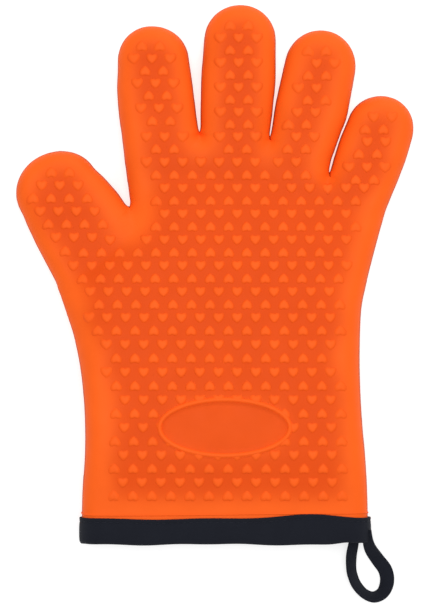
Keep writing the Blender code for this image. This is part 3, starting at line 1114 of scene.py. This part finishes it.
silicone = silicone_material()
cotton = woven_material("cotton", (0.78, 0.74, 0.66), (0.60, 0.56, 0.48), 0.9, 0.5, 0.92, 0.2)
navy = woven_material(
    "navy_tape", (0.0125, 0.0145, 0.0225), (0.0050, 0.0060, 0.0100), 0.55, 0.6, 0.85, 0.02, 45.0
)
navy_thread = woven_material(
    "navy_thread", (0.016, 0.018, 0.028), (0.008, 0.010, 0.015), 0.3, 0.3, 0.6, 0.02
)


def dress(piece, slot, *nodes):
    if nodes:
        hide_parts(*nodes)


skin = hand_skin(0.0, VOXEL, 4.2)
mark_regions(skin)
ease_fingers(skin)
skin.normal_update()
tree = BVHTree.FromBMesh(skin)
places = heart_places(tree)
known = KDTree(len(places))
for number, (x, y, *_) in enumerate(places):
    known.insert((x, y, 0), number)
known.balance()
finish_skin(skin, known)
for region, piece in region_pieces(skin, SKIN_WALL, "silicone", silicone).items():
    follow(piece, region)
    dress(piece, "silicone", f"shell_{region}")
for region, piece in hearts(places, known, tree, silicone).items():
    follow(piece, region)
    dress(piece, "silicone")
for raised in (oval_rim(tree, 1, silicone), oval_rim(tree, -1, silicone), cuff_line(tree, silicone)):
    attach(raised, "palm")
    dress(raised, "silicone")


def quilting(point):
    """Thickness of the lining: full between the quilting lines, thin along them."""
    x, y = (point.x - CUFF_X) / MM, (point.y - CUFF_Y) / MM
    thin = 0.0
    for line in (x + y, x - y):
        off = abs((line / 31.0) % 1.0 - 0.5) * 31.0
        thin = max(thin, math.exp(-(((15.5 - off) / 2.6) ** 2)))
    return 1.0 - 0.32 * thin


lining = hand_skin(LINING_INSET, 1.9, 4.4)
mark_regions(lining)
ease_fingers(lining)
for region, piece in region_pieces(lining, LINING_WALL, "cotton", cotton, quilting).items():
    follow(piece, region)
    dress(piece, "cotton", f"lining_{region}", f"padding_{region}")

binding = cuff_binding(navy)
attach(binding, "palm")
dress(binding, "tape", "cuff_binding")
stitches = binding_stitches(navy_thread)
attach(stitches, "palm")
dress(stitches, "thread", "binding_thread")

loop_joint = next(j for j in frame["joints"] if j["child"] == "loop")
loop_pivot = Vector(loop_joint["pos_m"])


def follow_loop(piece):
    start = loop_pivot + Vector((0, 2.2 * MM, 0))
    end = loop_pivot + Vector((0, -6.5 * MM, 0))
    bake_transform(piece, "palm", "loop", start=tuple(start), end=tuple(end))


loop = hanging_loop(navy)
follow_loop(loop)
dress(loop, "tape", "hanging_loop")
loop_thread = lay_stitches("loop_stitches", loop_stitches(), navy_thread)
follow_loop(loop_thread)
dress(loop_thread, "thread")

# ---------------------------------------------------------------- studio

floor = bmesh.new()
bmesh.ops.create_grid(floor, x_segments=1, y_segments=1, size=3.0)
floor_finish, _, _, floor_shader = blank("floor", (0.55, 0.55, 0.55), 0.9)
socket(floor_shader, "Emission Color", (1, 1, 1, 1))
socket(floor_shader, "Emission Strength", 0.62)
table = new_object("floor", floor, floor_finish)

EYE_HEIGHT = 1040.0
camera = bpy.data.objects.new("camera", bpy.data.cameras.new("camera"))
bpy.context.scene.collection.objects.link(camera)
camera.location = place(-5.3, 119.5, EYE_HEIGHT)
camera.data.sensor_fit = "VERTICAL"
camera.data.sensor_height = 36.0
camera.data.lens = 36.0 * (EYE_HEIGHT - 10.5) / 306.0
bpy.context.scene.camera = camera
bpy.context.scene.view_settings.view_transform = "Standard"


def area_light(name, spot, size, watts):
    made = bpy.data.objects.new(name, bpy.data.lights.new(name, "AREA"))
    bpy.context.scene.collection.objects.link(made)
    made.location = spot
    made.rotation_euler = (-Vector(spot)).to_track_quat("-Z", "Y").to_euler()
    made.data.size = size
    made.data.energy = watts


area_light("overhead", (0.0, 0.05, 1.8), 0.9, 13.5)
area_light("key", (0.5, 1.3, 0.9), 0.4, 6)
world = bpy.data.worlds.new("studio")
world.use_nodes = True
world.node_tree.nodes["Background"].inputs["Color"].default_value = (1, 1, 1, 1)
world.node_tree.nodes["Background"].inputs["Strength"].default_value = 0.56
bpy.context.scene.world = world
